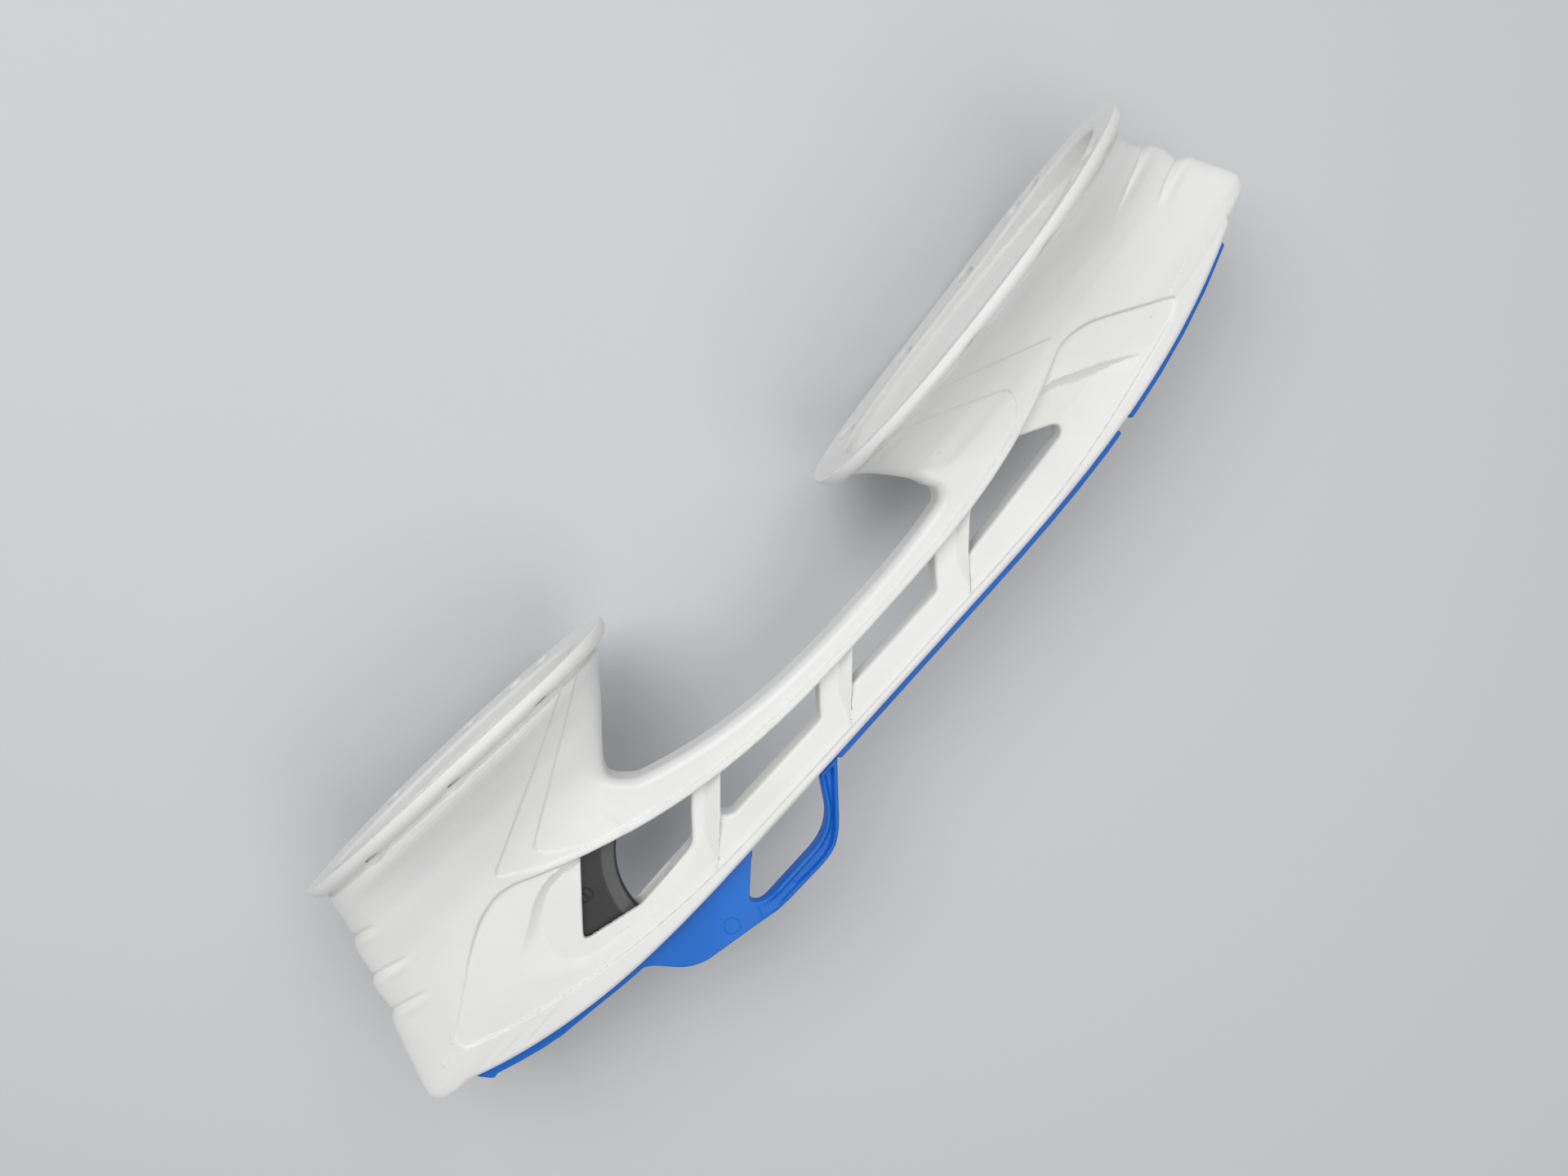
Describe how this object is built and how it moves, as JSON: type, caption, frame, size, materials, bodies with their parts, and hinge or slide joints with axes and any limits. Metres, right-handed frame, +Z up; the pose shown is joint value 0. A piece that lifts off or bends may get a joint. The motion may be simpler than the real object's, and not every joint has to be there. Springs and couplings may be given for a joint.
{
  "type": "skate blade holder",
  "caption": "Hollow moulded skate blade holder with heel and toe footplates, a windowed rail, a removable slot insert with a finger loop and a sprung release trigger.",
  "frame": {"origin": "middle of the toe footplate, at the height of its rim, where the boot's sole meets it", "axes": "+X to the toe along the rail, +Y to the left side, +Z up to the boot"},
  "size_m": [0.284, 0.06, 0.0865],
  "materials": {
    "holder": "glossy white moulded nylon",
    "slot_insert": "satin blue moulded plastic",
    "release_trigger": "satin black moulded plastic",
    "trigger_pin": "plain steel",
    "return_spring": "bright spring wire"
  },
  "bodies": {
    "holder_body": {"holder": "holder", "trigger_pin": "trigger_pin", "return_spring": "return_spring"},
    "insert_body": {"slot_insert": "slot_insert"},
    "trigger_body": {"release_trigger": "release_trigger"}
  },
  "joints": [
    {"name": "trigger_pull", "type": "hinge", "parent": "holder_body", "child": "trigger_body", "pos_m": [-0.164, 0, -0.0098], "axis": [0, 1, 0], "range_deg": [0, 15], "stiffness_Nm_per_rad": 0.25, "springref_deg": -17.19, "deforming": ["return_spring"]},
    {"name": "insert_swing", "type": "hinge", "parent": "holder_body", "child": "insert_body", "pos_m": [0.037, 0, -0.0328], "axis": [0, -1, 0], "range_deg": [0, 1.25]}
  ],
  "couplings": [
    {"joint": "insert_swing", "follows": "trigger_pull", "ratio": 0.08}
  ]
}
